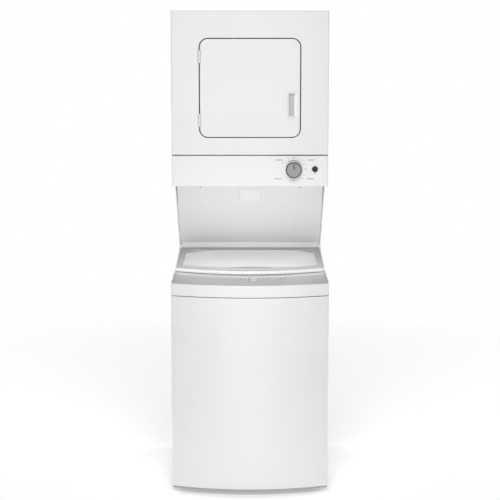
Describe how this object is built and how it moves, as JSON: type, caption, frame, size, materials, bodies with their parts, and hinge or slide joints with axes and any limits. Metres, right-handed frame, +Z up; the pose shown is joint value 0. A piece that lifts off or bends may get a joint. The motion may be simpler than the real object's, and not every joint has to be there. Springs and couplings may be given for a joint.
{
  "type": "washer dryer stack",
  "caption": "Stacked laundry centre: top-loading washer with bowed front and glass lid, sloped stand, front-loading dryer with flush hinged door, timer knob and start button",
  "frame": {"origin": "on the floor under the middle of the bounding box", "axes": "+Z up, the front faces -Y, +X to the right as seen from the front"},
  "size_m": [0.606, 0.6839, 1.862],
  "materials": {
    "white_enamel": "smooth gloss enamel on sheet steel",
    "white_plastic": "white moulded plastic",
    "lid_grey": "mid grey moulded plastic",
    "silver_fascia": "silver painted plastic",
    "pane_glass": "pale tempered glass",
    "display_window": "smoked display window",
    "knob_grey": "grey knob with a turned face",
    "black_plastic": "black moulded plastic",
    "pull_grey": "pale grey moulded plastic",
    "hinge_white": "pale grey painted steel",
    "zinc_steel": "zinc plated steel",
    "dark_base": "dark grey painted steel",
    "stainless": "stainless steel",
    "tub_plastic": "pale filled plastic",
    "cast_alloy": "cast light alloy",
    "galvanised": "galvanised sheet steel",
    "belt_rubber": "black belt rubber",
    "foot_rubber": "black foot rubber"
  },
  "bodies": {
    "cabinet": {"washer_side_left": "white_enamel", "washer_side_right": "white_enamel", "washer_front_panel": "white_enamel", "stand_side_left": "white_enamel", "stand_side_right": "white_enamel", "stand_cover": "white_enamel", "dryer_side_left": "white_enamel", "dryer_side_right": "white_enamel", "dryer_top_panel": "white_enamel", "dryer_front_panel": "white_enamel", "washer_apron": "white_plastic", "washer_top_cover": "white_plastic", "dryer_console": "white_plastic", "control_fascia": "silver_fascia", "display_lens": "display_window", "door_catch": "black_plastic", "timer": "black_plastic", "drain_pump": "black_plastic", "inlet_valve": "black_plastic", "door_hinge_frames": "hinge_white", "panel_screws": "zinc_steel", "suspension_rods": "zinc_steel", "washer_base": "dark_base", "outer_tub": "tub_plastic", "gearcase": "cast_alloy", "washer_motor": "cast_alloy", "dryer_motor": "cast_alloy", "washer_rear_panel": "galvanised", "rear_panel": "galvanised", "dryer_base": "galvanised", "front_bulkhead": "galvanised", "rear_bulkhead": "galvanised", "lint_duct": "galvanised", "blower_housing": "galvanised", "exhaust_duct": "galvanised", "heater_box": "galvanised", "washer_belt": "belt_rubber", "dryer_belt": "belt_rubber", "rear_feet": "foot_rubber"},
    "lid": {"lid_frame": "lid_grey", "lid_glass": "pane_glass", "lid_nose": "white_plastic"},
    "basket": {"wash_basket": "stainless", "balance_ring": "tub_plastic"},
    "wash_drive": {"wash_plate": "tub_plastic", "drive_pulley": "cast_alloy"},
    "washer_rotor": {"motor_pulley": "zinc_steel"},
    "door": {"door_panel": "white_enamel", "door_liner": "white_plastic", "door_pull": "pull_grey", "door_hinge_leaves": "hinge_white"},
    "knob": {"timer_knob": "knob_grey"},
    "button": {"start_button": "black_plastic"},
    "drum": {"dryer_drum": "stainless"},
    "blower_rotor": {"blower_wheel": "black_plastic"},
    "tension_arm": {"idler_arm": "zinc_steel"},
    "tension_wheel": {"idler_wheel": "black_plastic"},
    "screen": {"lint_screen": "black_plastic"},
    "foot_left": {"front_foot_left": "foot_rubber"},
    "foot_right": {"front_foot_right": "foot_rubber"}
  },
  "joints": [
    {"name": "lid_hinge", "type": "hinge", "parent": "cabinet", "child": "lid", "pos_m": [0, 0.09269, 0.90136], "axis": [-1, 0, 0], "range_deg": [0, 52]},
    {"name": "basket_spin", "type": "hinge", "parent": "cabinet", "child": "basket", "pos_m": [0, 0.014, 0.592], "axis": [0, 0, 1], "continuous": true},
    {"name": "wash_drive_turn", "type": "hinge", "parent": "cabinet", "child": "wash_drive", "pos_m": [0, 0.014, 0.3], "axis": [0, 0, 1], "continuous": true},
    {"name": "washer_motor_turn", "type": "hinge", "parent": "cabinet", "child": "washer_rotor", "pos_m": [-0.15, 0.104, 0.23], "axis": [0, 0, 1], "continuous": true},
    {"name": "door_hinge", "type": "hinge", "parent": "cabinet", "child": "door", "pos_m": [-0.1914, -0.252, 1.571], "axis": [0, 0, -1], "range_deg": [0, 165]},
    {"name": "knob_turn", "type": "hinge", "parent": "cabinet", "child": "knob", "pos_m": [0.1664, -0.26, 1.264], "axis": [0, 1, 0], "continuous": true},
    {"name": "button_press", "type": "slide", "parent": "cabinet", "child": "button", "axis": [0, 1, 0], "range_m": [0, 0.0035], "stiffness_N_per_m": 700},
    {"name": "drum_spin", "type": "hinge", "parent": "cabinet", "child": "drum", "pos_m": [0, 0.022, 1.5726], "axis": [0, 1, 0], "continuous": true},
    {"name": "blower_spin", "type": "hinge", "parent": "cabinet", "child": "blower_rotor", "pos_m": [-0.192, 0.036, 1.278], "axis": [0, 1, 0], "continuous": true},
    {"name": "tension_swing", "type": "hinge", "parent": "cabinet", "child": "tension_arm", "pos_m": [-0.074, 0.104, 1.226], "axis": [0, -1, 0], "range_deg": [0, 10], "stiffness_Nm_per_rad": 3, "springref_deg": -28.65},
    {"name": "tension_wheel_spin", "type": "hinge", "parent": "tension_arm", "child": "tension_wheel", "pos_m": [-0.1209, 0.096, 1.25912], "axis": [0, 1, 0], "continuous": true},
    {"name": "screen_lift", "type": "slide", "parent": "cabinet", "child": "screen", "axis": [0, 0, 1], "range_m": [0, 0.15]},
    {"name": "foot_left_turn", "type": "hinge", "parent": "cabinet", "child": "foot_left", "pos_m": [-0.245, -0.19, 0.02], "axis": [0, 0, 1], "continuous": true},
    {"name": "foot_right_turn", "type": "hinge", "parent": "cabinet", "child": "foot_right", "pos_m": [0.245, -0.19, 0.02], "axis": [0, 0, 1], "continuous": true}
  ],
  "couplings": [
    {"joint": "washer_motor_turn", "follows": "wash_drive_turn", "ratio": 3.0168},
    {"joint": "blower_spin", "follows": "drum_spin", "ratio": 17.863},
    {"joint": "tension_wheel_spin", "follows": "drum_spin", "ratio": -17.863}
  ]
}
